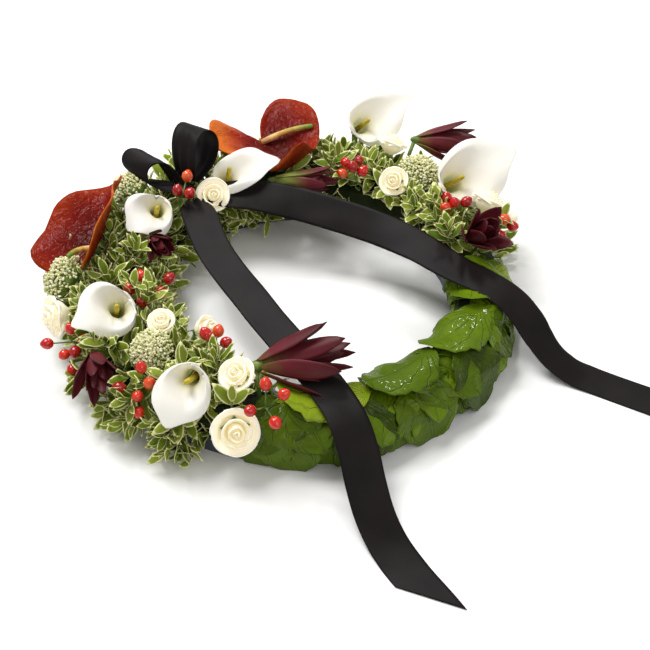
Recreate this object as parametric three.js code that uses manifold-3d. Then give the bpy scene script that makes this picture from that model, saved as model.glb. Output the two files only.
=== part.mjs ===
// A memorial wreath that lies flat on a table or a grave. A plastic tray ring holds a ring of floral foam.
// Large green leaves are pinned over the front right of the foam, and flowers, berries and variegated
// foliage stand in the rest of it on their own stems. A satin bow sits at the back left, and its two long
// tails cross the hole, go over the ring and run out on the table.
//
// Units are millimetres and +Z is up. A place is given as [clock, reach, height]: the clock angle in degrees
// round the ring's axis, counted from +X towards +Y, the distance from that axis, and the height above the
// table. A direction is given as [azimuth, elevation] in degrees.

import * as THREE from "three";
import { mergeVertices } from "three/addons/utils/BufferGeometryUtils.js";
import Module from "manifold-3d";

const wasm = await Module();
wasm.setup();

// Tray and foam
const RING_OUTER = 230;
const RING_INNER = 170;
const CORE_REACH = (RING_OUTER + RING_INNER) / 2;
const CORE_HEIGHT = 30;
const TRAY_HEIGHT = 20;
const TRAY_WALL = 2;
const FOAM_TOP = 50;
const FOAM_ROUND = 14;
const STEM_END = 13;
const RING_SEGMENTS = 40;
const GAP = 0.4;
const SLIVER = 0.1;
const MERGE = 0.005;
const CLEAN_PASSES = 3;
const FOAM_GAP = 1;

// Leaves that wrap the ring: the round surface that they follow
const WRAP_RADIUS = 36;
const WRAP_HEIGHT = 21;
const LAYER_STEP = 2;
const LEAF_THICKNESS = 1.2;

// Flowers
const ROSE_STEM = 2.2;
const CALLA_STEM = 3.2;
const ANTHURIUM_STEM = 2.6;
const CONE_STEM = 2.4;
const TWIG = 1.4;
const BERRY_RADIUS = 6.4;
const BRACTS = 6;

// Ribbon
const RIBBON_WIDTH = 40;
const RIBBON_THICKNESS = 1;
const GATHER = 0.5;
const TAIL_GATHER = 0.75;
const GATHER_LENGTH = 30;
const SLANT_START = 0.8;

const rad = THREE.MathUtils.degToRad;
const UP = new THREE.Vector3(0, 0, 1);

const material = (color, roughness, metalness = 0) =>
  new THREE.MeshStandardMaterial({ color, roughness, metalness, side: THREE.DoubleSide });

const finishes = {
  tray: material("#3c4a5a", 0.5),
  foam: material("#3f5a35", 0.95),
  greenLeaf: material("#3f6312", 0.35),
  pittosporum: material("#5c7434", 0.55),
  anthurium: material("#7a1208", 0.2),
  calla: material("#f5efe6", 0.5),
  rose: material("#f3ecd8", 0.6),
  leucadendron: material("#4a1420", 0.5),
  berry: material("#d81e12", 0.25),
  budHead: material("#c9cf90", 0.8),
  ribbon: material("#262223", 0.4),
  wire: material("#5f6a4c", 0.5),
};

const group = new THREE.Group();
const made = [];

// ---------------------------------------------------------------- helpers

const place = ([clock, reach, height]) =>
  new THREE.Vector3(reach * Math.cos(rad(clock)), reach * Math.sin(rad(clock)), height);

// Where a stem that comes from a spot ends in the foam: short of the foam's core, below that clock angle.
function root(clock, spot) {
  const core = place([clock, CORE_REACH, CORE_HEIGHT]);
  return core.addScaledVector(spot.clone().sub(core).normalize(), STEM_END);
}

const direction = ([azimuth, elevation]) =>
  new THREE.Vector3(
    Math.cos(rad(azimuth)) * Math.cos(rad(elevation)),
    Math.sin(rad(azimuth)) * Math.cos(rad(elevation)),
    Math.sin(rad(elevation)),
  );

// The matrix that stands a shape's +Z along a direction, with its +Y as near to up as it goes, then rolls it.
function standing(origin, along, roll = 0) {
  const z = along.clone().normalize();
  const x = UP.clone().cross(z).normalize();
  const y = z.clone().cross(x);
  const frame = new THREE.Matrix4().makeBasis(x, y, z);
  return frame.multiply(new THREE.Matrix4().makeRotationZ(rad(roll))).setPosition(origin);
}

function solidOf(geometry, matrix) {
  const shape = geometry.clone();
  shape.deleteAttribute("normal");
  shape.deleteAttribute("uv");
  if (matrix) shape.applyMatrix4(matrix);
  const merged = mergeVertices(shape, MERGE);
  return new wasm.Manifold(
    new wasm.Mesh({
      numProp: 3,
      vertProperties: merged.attributes.position.array,
      triVerts: new Uint32Array(merged.index.array),
    }),
  );
}

const joined = (solids) => solids.reduce((sum, solid) => sum.add(solid));

function geometryOf(solid) {
  const mesh = solid.getMesh();
  const geometry = new THREE.BufferGeometry();
  geometry.setAttribute("position", new THREE.BufferAttribute(mesh.vertProperties, 3));
  geometry.setIndex(new THREE.BufferAttribute(mesh.triVerts, 1));
  geometry.computeVertexNormals();
  return geometry;
}

// The small eight-sided body that is swept round a piece to leave its gap in the pieces added after it.
const gapBody = solidOf(new THREE.OctahedronGeometry(GAP));

const touching = (a, b) =>
  [0, 1, 2].every((k) => a.min[k] < b.max[k] + 1 && b.min[k] < a.max[k] + 1);

const largest = (solid) => solid.decompose().sort((a, b) => b.volume() - a.volume())[0];

// What is left of a piece after its cuts: the largest body, without the slivers that a cut leaves on it.
function cleaned(solid) {
  let body = largest(solid);
  for (let pass = 0; pass < CLEAN_PASSES; pass++) {
    body = largest(solidOf(geometryOf(body.simplify(SLIVER))));
  }
  return body;
}

// Adds one named piece. It gives way to every piece added before it, and what is cut loose is dropped.
function addPiece(name, finish, solid) {
  const box = solid.boundingBox();
  let rest = solid;
  for (const other of made) {
    if (!touching(box, other.box)) continue;
    if (rest.intersect(other.solid).isEmpty() && rest.minGap(other.solid, GAP) >= GAP) continue;
    other.room ??= other.solid.minkowskiSum(gapBody);
    rest = rest.subtract(other.room);
  }
  const piece = cleaned(rest);
  const mesh = new THREE.Mesh(geometryOf(piece), finish);
  mesh.name = name;
  group.add(mesh);
  made.push({ box, solid: piece });
}

// A turned shape about +Z from [radius, height] points that start and end on the axis.
function turned(points, segments) {
  const outline = points.map(([radius, height]) => new THREE.Vector2(radius, height));
  return new THREE.LatheGeometry(outline, segments).rotateX(Math.PI / 2);
}

// A round rod between two points.
function rod(from, to, radius, sides = 5) {
  const along = to.clone().sub(from);
  const length = along.length();
  const shape = new THREE.CylinderGeometry(radius, radius, length, sides).rotateX(Math.PI / 2);
  return solidOf(shape.translate(0, 0, length / 2), standing(from, along));
}

// A pointed blade in the XY plane: it starts at the origin, ends at +Y, and curls up towards its tip.
function blade({ length, width, thickness = LEAF_THICKNESS, curl = 0, fold = 0, around = 8, rings = 5 }) {
  const shape = new THREE.SphereGeometry(1, around, rings);
  const position = shape.attributes.position;
  for (let i = 0; i < position.count; i++) {
    const along = (position.getY(i) + 1) / 2;
    const across = position.getX(i) * (1.15 - 0.3 * along);
    const lift = curl * along * along + fold * Math.abs(across);
    const z = position.getZ(i) * (thickness / 2) + lift;
    position.setXYZ(i, (across * width) / 2, along * length, z);
  }
  return shape;
}

// A closed strip through a list of [left, right, up] stations, with a flat end at each end.
function strip(stations, thickness) {
  const corners = [];
  for (const { left, right, normal } of stations) {
    const half = normal.clone().multiplyScalar(thickness / 2);
    corners.push(left.clone().sub(half), right.clone().sub(half));
    corners.push(right.clone().add(half), left.clone().add(half));
  }
  const index = [0, 1, 2, 0, 2, 3];
  const last = 4 * (stations.length - 1);
  for (let start = 0; start < last; start += 4) {
    for (let k = 0; k < 4; k++) {
      const a = start + k;
      const b = start + ((k + 1) % 4);
      if (k < 2) index.push(a, a + 4, b, b, a + 4, b + 4);
      else index.push(a, a + 4, b + 4, a, b + 4, b);
    }
  }
  index.push(last, last + 2, last + 1, last, last + 3, last + 2);
  const shape = new THREE.BufferGeometry().setFromPoints(corners);
  shape.setIndex(index);
  return shape;
}

// ---------------------------------------------------------------- tray

function trayRing() {
  const floor = TRAY_WALL;
  const outline = [
    [RING_INNER, 0],
    [RING_OUTER, 0],
    [RING_OUTER, TRAY_HEIGHT],
    [RING_OUTER - TRAY_WALL, TRAY_HEIGHT],
    [RING_OUTER - TRAY_WALL, floor],
    [RING_INNER + TRAY_WALL, floor],
    [RING_INNER + TRAY_WALL, TRAY_HEIGHT],
    [RING_INNER, TRAY_HEIGHT],
    [RING_INNER, 0],
  ];
  return solidOf(turned(outline, RING_SEGMENTS));
}

addPiece("tray_ring", finishes.tray, trayRing());

// ---------------------------------------------------------------- ribbon

// A ribbon's stations along a smooth curve. Each point is [x, y, z, roll]: the roll in degrees lifts the edge
// on the left of the run. The ribbon starts gathered, and the slant of its cut end shears its last stretch.
function ribbonRun(points, steps, slant) {
  const spots = points.map(([x, y, z]) => new THREE.Vector3(x, y, z));
  const curve = new THREE.CatmullRomCurve3(spots, false, "centripetal");
  const rolls = points.map((point) => point[3]);
  const stations = [];
  for (let i = 0; i <= steps; i++) {
    const t = i / steps;
    const middle = curve.getPoint(t);
    const along = curve.getTangent(t);
    const knot = Math.min(t * (points.length - 1), points.length - 1.0001);
    const roll = THREE.MathUtils.lerp(rolls[Math.floor(knot)], rolls[Math.floor(knot) + 1], knot % 1);
    const level = UP.clone().cross(along).normalize();
    const side = level.applyAxisAngle(along, -rad(roll));
    const normal = along.clone().cross(side).normalize();
    const spread = THREE.MathUtils.smoothstep(middle.distanceTo(spots[0]), 0, GATHER_LENGTH);
    const half = side.multiplyScalar((RIBBON_WIDTH / 2) * THREE.MathUtils.lerp(TAIL_GATHER, 1, spread));
    const cut = along.clone().multiplyScalar(slant * Math.max(0, (t - SLANT_START) / (1 - SLANT_START)));
    stations.push({
      left: middle.clone().add(half).add(cut),
      right: middle.clone().sub(half).sub(cut),
      normal,
    });
  }
  return stations;
}

// Both tails leave the bow side by side, cross the hole, go over the ring and end on the table.
const FRONT_TAIL = [
  [-128, 96, 84, 0],
  [-119, 76, 86, 0],
  [-95, 10, 82, 0],
  [-54, -60, 76, 0],
  [-12, -126, 71, 0],
  [31, -190, 67, 0],
  [50, -228, 61, 0],
  [59, -254, 48, 0],
  [66, -280, 30, 0],
  [74, -304, 14, 0],
  [84, -326, 5, 0],
  [99, -352, 1.2, 0],
  [122, -388, 1.2, 0],
];
const LONG_TAIL = [
  [-120, 115, 80, 0],
  [-92, 117, 78, -10],
  [-60, 115, 79, -25],
  [-12, 103, 77, -35],
  [34, 86, 74, -35],
  [90, 62, 69, -30],
  [132, 32, 68, -18],
  [166, 0, 67, -8],
  [201, -26, 66, 0],
  [226, -46, 61, 0],
  [243, -64, 50, 0],
  [257, -80, 34, 0],
  [272, -92, 17, 0],
  [292, -103, 5.5, 0],
  [318, -116, 1.4, 0],
  [398, -160, 1.4, 0],
];

const frontRun = ribbonRun(FRONT_TAIL, 36, 27);
const longRun = ribbonRun(LONG_TAIL, 40, -22);
addPiece("ribbon_tail_front", finishes.ribbon, solidOf(strip(frontRun, RIBBON_THICKNESS)));
addPiece("ribbon_tail_long", finishes.ribbon, solidOf(strip(longRun, RIBBON_THICKNESS)));

// A bow loop: the band leaves the knot, bends back at its far end and returns beside itself. It is gathered
// at the knot. out runs from the knot to the bend, and across is the band's width direction.
function bowLoop({ out, across, height }) {
  const reach = new THREE.Vector3(...out);
  const side = new THREE.Vector3(...across).normalize();
  const apart = reach.clone().cross(side).normalize();
  const steps = 22;
  const stations = [];
  for (let i = 0; i <= steps; i++) {
    const turn = (i / steps) * 2 * Math.PI;
    const opening = (height / 2) * Math.sin(turn) * Math.sin(turn / 2) + 1.6 * Math.cos(turn / 2);
    const away = THREE.MathUtils.lerp(0.16, 1, (1 - Math.cos(turn)) / 2);
    const middle = KNOT.clone().addScaledVector(reach, away).addScaledVector(apart, opening);
    const width = RIBBON_WIDTH * THREE.MathUtils.lerp(GATHER, 1, Math.sqrt(Math.sin(turn / 2)));
    const half = side.clone().multiplyScalar(width / 2);
    stations.push({ left: middle.clone().add(half), right: middle.clone().sub(half) });
  }
  stations.forEach((station, i) => {
    const from = stations[Math.max(i - 1, 0)].left;
    const to = stations[Math.min(i + 1, steps)].left;
    station.normal = to.clone().sub(from).cross(side).normalize();
  });
  return solidOf(strip(stations, RIBBON_THICKNESS));
}

const KNOT = new THREE.Vector3(-135, 110, 91);
const LEFT_LOOP = { out: [-56, 16, 26], across: [0.8, -0.58, -0.15], height: 36 };
const UPRIGHT_LOOP = { out: [16, 52, 50], across: [0.78, -0.6, 0.12], height: 50 };
addPiece("bow_loop_left", finishes.ribbon, bowLoop(LEFT_LOOP));
addPiece("bow_loop_upright", finishes.ribbon, bowLoop(UPRIGHT_LOOP));

function bowKnot() {
  const wrap = new THREE.SphereGeometry(1, 10, 6).scale(11, 8, 7);
  return solidOf(wrap, new THREE.Matrix4().setPosition(KNOT));
}

addPiece("bow_knot", finishes.ribbon, bowKnot());
addPiece("bow_pick", finishes.wire, rod(root(141, KNOT), KNOT, 1.2));

// ---------------------------------------------------------------- flowers

// A heart-shaped spathe with its tip towards +Y, cupped upwards, and a spadix that rises from the notch and
// leans towards the tip, or away from it.
function anthurium({ spot, facing, roll, size, wide, fold, lift, lean, clock }) {
  const heart = new THREE.Shape();
  heart.moveTo(0, -0.22);
  heart.bezierCurveTo(0.1, -0.62, 0.52, -0.62, 0.5, -0.12);
  heart.bezierCurveTo(0.48, 0.24, 0.16, 0.38, 0, 0.56);
  heart.bezierCurveTo(-0.16, 0.38, -0.48, 0.24, -0.5, -0.12);
  heart.bezierCurveTo(-0.52, -0.62, -0.1, -0.62, 0, -0.22);
  const plate = new THREE.ExtrudeGeometry(heart, { depth: 2 / size, bevelEnabled: false, curveSegments: 7 });
  const position = plate.attributes.position;
  for (let i = 0; i < position.count; i++) {
    const x = position.getX(i);
    const y = position.getY(i);
    const tip = THREE.MathUtils.smoothstep(y, 0.2, 0.56);
    position.setZ(i, position.getZ(i) + 0.25 * (x * x + y * y) + fold * Math.abs(x) + lift * tip * tip);
  }
  plate.scale(wide * size, size, size);
  const frame = standing(spot, direction(facing), roll);
  const notch = new THREE.Vector3(0, -0.2 * size, 2).applyMatrix4(frame);
  const spadixTip = new THREE.Vector3(lean[0], lean[1] - 0.2, 0.22).multiplyScalar(size).applyMatrix4(frame);
  const spadix = rod(notch, spadixTip, 3.6, 8);
  return joined([solidOf(plate, frame), spadix, rod(root(clock, notch), notch, ANTHURIUM_STEM)]);
}

const anthuriums = {
  anthurium_left: {
    spot: place([169.5, 227, 84]), facing: [200, 54], roll: 50,
    size: 132, wide: 0.74, fold: 0.36, lift: -0.08, lean: [0, -0.18], clock: 168,
  },
  anthurium_back: {
    spot: place([100, 211, 71]), facing: [270, 86], roll: -148,
    size: 126, wide: 1.06, fold: 0.28, lift: 0.42, lean: [-0.4, 0.25], clock: 101,
  },
};

// A funnel whose mouth is slanted: the lip reaches furthest on the +Y side.
function calla({ spot, facing, roll, size, clock }) {
  const outside = [[0, -0.5], [0.07, -0.48], [0.13, -0.2], [0.2, 0.02], [0.3, 0.14], [0.34, 0.18]];
  const outline = [...outside, [0, -0.05]];
  const funnel = turned(outline, 12);
  funnel.scale(size, size, size);
  const position = funnel.attributes.position;
  for (let i = 0; i < position.count; i++) {
    const lip = Math.max(0, position.getZ(i) / size);
    const reach = position.getY(i) + lip * size;
    position.setY(i, reach);
    position.setZ(i, position.getZ(i) + 2.2 * lip * reach);
  }
  const frame = standing(spot, direction(facing), roll);
  const foot = new THREE.Vector3(0, 0, -0.46 * size).applyMatrix4(frame);
  return joined([solidOf(funnel, frame), rod(root(clock, foot), foot, CALLA_STEM)]);
}

const callas = {
  calla_front: { spot: place([-118, 222, 88]), facing: [-100, 40], roll: 165, size: 70, clock: -116 },
  calla_left: { spot: place([-154, 207, 86]), facing: [-60, 55], roll: 95, size: 76, clock: -154 },
  calla_middle: { spot: place([155, 179, 88]), facing: [-60, 55], roll: 110, size: 70, clock: 158 },
  calla_bow: { spot: place([122.5, 167, 88]), facing: [-70, 78], roll: -98, size: 80, clock: 122 },
  calla_back: { spot: place([72, 238, 104]), facing: [-70, 45], roll: -75, size: 82, clock: 72 },
  calla_right: { spot: place([33, 212, 98]), facing: [-68, 46], roll: -78, size: 94, clock: 33 },
};

// A half-open rose: a round head with a shallow cup on top, on a green neck.
function rose({ spot, facing, size, clock }) {
  const side = [[0, -1], [0.22, -0.95], [0.7, -0.62], [0.98, -0.05], [0.92, 0.5]];
  const outline = [...side, [0.62, 0.8], [0.3, 0.7], [0, 0.6]];
  const head = turned(outline, 10);
  head.scale(size, size, size);
  const frame = standing(spot, direction(facing));
  const neck = new THREE.Vector3(0, 0, -0.75 * size).applyMatrix4(frame);
  return joined([solidOf(head, frame), rod(root(clock, neck), neck, ROSE_STEM)]);
}

const roses = {
  rose_front_low: { spot: place([-104, 243, 55]), facing: [-80, 32], size: 23, clock: -103 },
  rose_front_high: { spot: place([-107, 200, 88]), facing: [-125, 60], size: 18, clock: -106 },
  rose_inner: { spot: place([-130, 147, 76]), facing: [-20, 35], size: 18, clock: -130 },
  rose_small: { spot: place([-141, 180, 87]), facing: [-90, 70], size: 15, clock: -141 },
  rose_far_left: { spot: place([-166, 270, 50]), facing: [-150, 12], size: 22, clock: -164 },
  rose_bow: { spot: place([134, 148, 84]), facing: [-75, 42], size: 19, clock: 131 },
  rose_back_high: { spot: place([61, 224, 96]), facing: [60, 62], size: 18, clock: 60 },
  rose_back_low: { spot: place([51, 171, 85]), facing: [-110, 45], size: 17, clock: 51 },
  rose_right: { spot: place([24, 236, 84]), facing: [50, 55], size: 18, clock: 24 },
  rose_far_right: { spot: place([21, 262, 60]), facing: [20, 25], size: 13, clock: 20 },
};

// A cone of long bracts that open away from their stem.
function leucadendron({ spot, facing, length, broad, spread, clock }) {
  const frame = standing(spot, direction(facing));
  const knob = [[0, -0.1], [0.1, 0], [0, 0.1]];
  const parts = [solidOf(turned(knob, 6).scale(length, length, length), frame)];
  const shape = { length, width: broad * length, thickness: 2, curl: 0.08 * length, around: 5, rings: 3 };
  for (let i = 0; i < BRACTS; i++) {
    const bract = blade(shape);
    bract.rotateX(rad(90 - (i % 2 ? spread : 0.4 * spread)));
    bract.translate(0, 0.05 * length, 0);
    bract.rotateZ((2 * Math.PI * i) / BRACTS);
    parts.push(solidOf(bract, frame));
  }
  parts.push(rod(root(clock, spot), spot, CONE_STEM));
  return joined(parts);
}

const leucadendrons = {
  leucadendron_front: {
    spot: place([-104, 174, 78]), facing: [6, 7], length: 100, broad: 0.22, spread: 34, clock: -100,
  },
  leucadendron_left: {
    spot: place([-147, 250, 66]), facing: [-72, -8], length: 54, broad: 0.26, spread: 46, clock: -147,
  },
  leucadendron_middle: {
    spot: place([168, 172, 78]), facing: [-62, 20], length: 50, broad: 0.24, spread: 30, clock: 166,
  },
  leucadendron_back: {
    spot: place([104, 150, 77]), facing: [-8, 4], length: 76, broad: 0.22, spread: 20, clock: 97,
  },
  leucadendron_high: {
    spot: place([57, 250, 92]), facing: [0, -4], length: 80, broad: 0.22, spread: 26, clock: 57,
  },
  leucadendron_right: {
    spot: place([14, 193, 66]), facing: [-50, 50], length: 60, broad: 0.36, spread: 42, clock: 10,
  },
};

// Berries on short stalks that fork from one twig. Each berry is [x, y, z] from the fork.
function hypericum({ fork, berries, clock }) {
  const parts = [rod(root(clock, fork), fork, TWIG)];
  for (const offset of berries) {
    const stalk = new THREE.Vector3(...offset);
    const centre = fork.clone().add(stalk);
    const berry = turned([[0, -1], [0.8, -0.6], [0.95, 0.25], [0, 1.15]], 7);
    berry.scale(BERRY_RADIUS, BERRY_RADIUS, BERRY_RADIUS);
    parts.push(solidOf(berry, standing(centre, stalk)));
    parts.push(rod(fork, centre, 0.9, 3));
  }
  return joined(parts);
}

const hypericums = {
  hypericum_left: {
    fork: place([-157, 250, 44]),
    berries: [[-8, -2, 20], [-32, -14, 10], [-14, -22, 2], [-3, -20, 4], [-6, -32, -10], [6, -10, 12]],
    clock: -156,
  },
  hypericum_low: {
    fork: place([-130, 234, 56]),
    berries: [[-4, 6, 24], [-26, -6, 8], [5, -8, 16], [-7, -16, 6], [-6, -24, -8]],
    clock: -130,
  },
  hypericum_middle: {
    fork: place([-160, 168, 66]),
    berries: [[-12, 22, 16], [-22, 4, 14], [-8, -10, 8], [10, 2, 10], [18, 20, 14]],
    clock: -161,
  },
  hypericum_inner: {
    fork: place([-120, 168, 80]),
    berries: [[-8, 4, 16], [4, 10, 14], [-2, -4, 18], [12, 0, 8]],
    clock: -120,
  },
  hypericum_front: {
    fork: place([-98, 218, 68]),
    berries: [[0, 10, 22], [18, 0, 18], [-14, -14, 10], [10, -22, 2]],
    clock: -98,
  },
  hypericum_bow: {
    fork: place([150, 161, 84]),
    berries: [[9, 25, 28], [-1, 8, 20], [13, 3, 20]],
    clock: 151,
  },
  hypericum_back: {
    fork: place([66, 156, 80]),
    berries: [[-12, 18, 12], [4, 20, 14], [-4, 4, 16], [8, 4, 10], [-16, 2, 8]],
    clock: 66,
  },
  hypericum_right: {
    fork: place([25, 192, 80]),
    berries: [
      [-8, 8, 14],
      [0, -2, 14],
      [-10, -6, 10],
      [14, 2, 12],
      [54, -28, 10],
      [64, -30, 2],
      [50, -40, -4],
    ],
    clock: 26,
  },
};

// A rounded head of tightly packed small buds, wider than it is high.
function budHead({ spot, facing, size, clock }) {
  const outline = [[0, -0.6], [0.5, -0.5], [0.95, -0.1], [1, 0.15], [0.8, 0.48], [0.45, 0.62], [0, 0.66]];
  const head = turned(outline, 10);
  head.scale(size, size, size);
  return joined([solidOf(head, standing(spot, direction(facing))), rod(root(clock, spot), spot, TWIG)]);
}

const budHeads = {
  bud_head_front: { spot: place([-136, 206, 76]), facing: [-110, 60], size: 24, clock: -136 },
  bud_head_left: { spot: place([-178, 262, 60]), facing: [180, 50], size: 29, clock: -178 },
  bud_head_middle: { spot: place([149, 236, 84]), facing: [160, 60], size: 28, clock: 150 },
  bud_head_back: { spot: place([115, 182, 70]), facing: [-90, 60], size: 21, clock: 114 },
  bud_head_right: { spot: place([48, 208, 82]), facing: [-60, 72], size: 28, clock: 47 },
};

// ---------------------------------------------------------------- foliage

// Leaves in opposite pairs along a twig, with one at its tip.
function pittosporum({ clock, spot, size = 26, pairs = 3 }) {
  const foot = root(clock, spot);
  const along = spot.clone().sub(foot);
  const parts = [rod(foot, spot, TWIG)];
  const frame = standing(foot, along);
  const length = along.length();
  for (let i = 0; i < 2 * pairs; i++) {
    const leaf = blade({ length: size, width: 0.42 * size, curl: 0.15 * size, around: 5, rings: 3 });
    leaf.rotateX(rad(38));
    leaf.rotateZ(Math.PI * i + (Math.PI / 2) * Math.floor(i / 2));
    leaf.translate(0, 0, length - 8 - 9 * Math.floor(i / 2));
    parts.push(solidOf(leaf, frame));
  }
  return joined(parts);
}

const sprigs = {
  pittosporum_left: { clock: -172, spot: place([-173, 268, 30]) },
  pittosporum_low: { clock: -138, spot: place([-139, 256, 24]) },
  pittosporum_front: { clock: -119, spot: place([-119, 250, 24]) },
  pittosporum_middle: { clock: 178, spot: place([178, 182, 84]) },
  pittosporum_right: { clock: 38, spot: place([36, 160, 76]) },
};

// A leaf that wraps the ring. tilt is where its middle lies on the ring's round section, 0 facing outwards
// and 90 on top; heading is where its tip points, 0 along the ring and 90 up over the section.
function greenLeaf({ clock, tilt, heading, length, width, layer }) {
  const shape = blade({ length, width, around: 10, rings: 6 });
  shape.translate(0, -length / 2, 0);
  const position = shape.attributes.position;
  const bed = WRAP_RADIUS + layer * LAYER_STEP;
  for (let i = 0; i < position.count; i++) {
    const along = position.getY(i);
    const across = position.getX(i);
    const run = along * Math.cos(rad(heading)) + across * Math.sin(rad(heading));
    const climb = along * Math.sin(rad(heading)) - across * Math.cos(rad(heading));
    const turn = rad(tilt) + climb / bed;
    const reach = CORE_REACH + (bed + position.getZ(i)) * Math.cos(turn);
    const round = rad(clock) + run / (CORE_REACH + bed * Math.cos(rad(tilt)));
    const height = WRAP_HEIGHT + (bed + position.getZ(i)) * Math.sin(turn);
    position.setXYZ(i, reach * Math.cos(round), reach * Math.sin(round), height);
  }
  const pinTop = bed * Math.cos(rad(tilt));
  const pin = place([clock, CORE_REACH + pinTop, WRAP_HEIGHT + bed * Math.sin(rad(tilt))]);
  return joined([solidOf(shape), rod(root(clock, pin), pin, TWIG)]);
}

const greenLeaves = [
  { clock: -92, tilt: 20, heading: -80, length: 74, width: 72, layer: 0 },
  { clock: -74, tilt: 24, heading: -100, length: 70, width: 70, layer: 1 },
  { clock: -56, tilt: 22, heading: -85, length: 76, width: 76, layer: 0 },
  { clock: -38, tilt: 24, heading: -95, length: 70, width: 72, layer: 1 },
  { clock: -20, tilt: 22, heading: -80, length: 80, width: 70, layer: 0 },
  { clock: -3, tilt: 28, heading: -95, length: 66, width: 66, layer: 1 },
  { clock: -84, tilt: 100, heading: 170, length: 86, width: 66, layer: 2 },
  { clock: -58, tilt: 104, heading: 190, length: 88, width: 68, layer: 3 },
  { clock: -32, tilt: 104, heading: 165, length: 88, width: 66, layer: 2 },
  { clock: -7, tilt: 104, heading: 185, length: 80, width: 62, layer: 3 },
];

// ---------------------------------------------------------------- assembly

const plants = [
  [anthuriums, anthurium, finishes.anthurium],
  [callas, calla, finishes.calla],
  [roses, rose, finishes.rose],
  [leucadendrons, leucadendron, finishes.leucadendron],
  [hypericums, hypericum, finishes.berry],
  [budHeads, budHead, finishes.budHead],
  [sprigs, pittosporum, finishes.pittosporum],
];
for (const [list, make, finish] of plants) {
  for (const [name, plant] of Object.entries(list)) addPiece(name, finish, make(plant));
}
greenLeaves.forEach((leaf, i) => {
  addPiece(`green_leaf_${String(i + 1).padStart(2, "0")}`, finishes.greenLeaf, greenLeaf(leaf));
});

// The foam fills the tray and stands above it with rounded shoulders. It comes last, so that every stem that
// stands in it has its hole.
function foamRing() {
  const inner = RING_INNER + TRAY_WALL + FOAM_GAP;
  const outer = RING_OUTER - TRAY_WALL - FOAM_GAP;
  const bottom = TRAY_WALL + FOAM_GAP;
  const outline = [[inner, bottom], [outer, bottom]];
  for (let step = 0; step <= 2; step++) {
    const turn = rad(45 * step);
    const height = FOAM_TOP - FOAM_ROUND + FOAM_ROUND * Math.sin(turn);
    outline.push([outer - FOAM_ROUND + FOAM_ROUND * Math.cos(turn), height]);
  }
  for (let step = 2; step >= 0; step--) {
    const turn = rad(45 * step);
    const height = FOAM_TOP - FOAM_ROUND + FOAM_ROUND * Math.sin(turn);
    outline.push([inner + FOAM_ROUND - FOAM_ROUND * Math.cos(turn), height]);
  }
  outline.push([inner, bottom]);
  return solidOf(turned(outline, RING_SEGMENTS));
}

addPiece("foam_ring", finishes.foam, foamRing());

// The origin is the middle of the whole wreath's box, at the table.
const extent = new THREE.Box3().setFromObject(group);
const middle = extent.getCenter(new THREE.Vector3());
group.position.set(-middle.x, -middle.y, 0);

export default group;
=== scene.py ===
# %% [markdown]
# # A memorial wreath
# A funeral wreath is a ring of wet floral foam in a plastic tray, with flowers, berries and foliage pushed into
# it on their own stems, large leaves pinned over one side, and a satin bow whose two tails cross the ring.
# The imported model gives the frame: every CAD node's place is known, and each detailed piece below is built in
# that place. This first cell loads it, bakes each solid's place into its mesh and drops the empties.

# %% Load the imported model
import random
from math import atan2, cos, degrees, exp, log, pi, radians, sin, sqrt
import bmesh
import bpy
from mathutils import Matrix, Vector, noise
from mathutils.bvhtree import BVHTree


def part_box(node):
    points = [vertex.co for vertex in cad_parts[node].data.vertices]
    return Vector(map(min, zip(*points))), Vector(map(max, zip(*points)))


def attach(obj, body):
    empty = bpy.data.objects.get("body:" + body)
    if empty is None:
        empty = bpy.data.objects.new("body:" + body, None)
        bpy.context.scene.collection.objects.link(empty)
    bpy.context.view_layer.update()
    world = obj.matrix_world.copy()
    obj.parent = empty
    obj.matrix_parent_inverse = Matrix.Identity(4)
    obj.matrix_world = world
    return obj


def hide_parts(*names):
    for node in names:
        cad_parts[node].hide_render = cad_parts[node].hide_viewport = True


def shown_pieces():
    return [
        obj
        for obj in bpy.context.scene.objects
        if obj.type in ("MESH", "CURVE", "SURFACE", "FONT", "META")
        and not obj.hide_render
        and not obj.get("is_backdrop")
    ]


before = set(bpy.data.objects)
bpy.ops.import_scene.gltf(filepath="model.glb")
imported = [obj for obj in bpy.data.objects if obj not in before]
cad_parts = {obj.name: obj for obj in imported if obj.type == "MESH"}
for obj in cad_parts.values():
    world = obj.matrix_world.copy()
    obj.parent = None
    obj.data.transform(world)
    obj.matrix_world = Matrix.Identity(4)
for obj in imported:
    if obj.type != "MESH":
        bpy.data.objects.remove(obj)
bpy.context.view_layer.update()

# %% [markdown]
# ## The ring's own frame
# The tray is a plain ring, so the middle of its box is the ring's axis. Florists place flowers by the clock, and
# so does this script: a place is a clock angle round that axis, a reach from it and a height, and a direction is
# an azimuth and an elevation. `standing` turns a piece's +Z along a direction, with its +Y as near to up as it
# goes, which is how the solids were placed too.

# %% Places and directions
MM = 0.001
FULL_TURN = 2 * pi
GOLDEN_ANGLE = 2.399963
tray_low, tray_high = (Vector(corner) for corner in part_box("tray_ring"))
RING = Vector(((tray_low.x + tray_high.x) / 2, (tray_low.y + tray_high.y) / 2, 0))
CORE_REACH = 200
CORE_HEIGHT = 30
STEM_END = 13


def place(clock, reach, height):
    turn = radians(clock)
    return RING + Vector((reach * cos(turn), reach * sin(turn), height)) * MM


def direction(azimuth, elevation):
    turn, climb = radians(azimuth), radians(elevation)
    return Vector((cos(turn) * cos(climb), sin(turn) * cos(climb), sin(climb)))


def standing(origin, along, roll=0):
    z = along.normalized()
    x = Vector((0, 0, 1)).cross(z).normalized()
    y = z.cross(x)
    turned = Matrix((x, y, z)).transposed().to_4x4() @ Matrix.Rotation(radians(roll), 4, "Z")
    return Matrix.Translation(origin) @ turned


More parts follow.
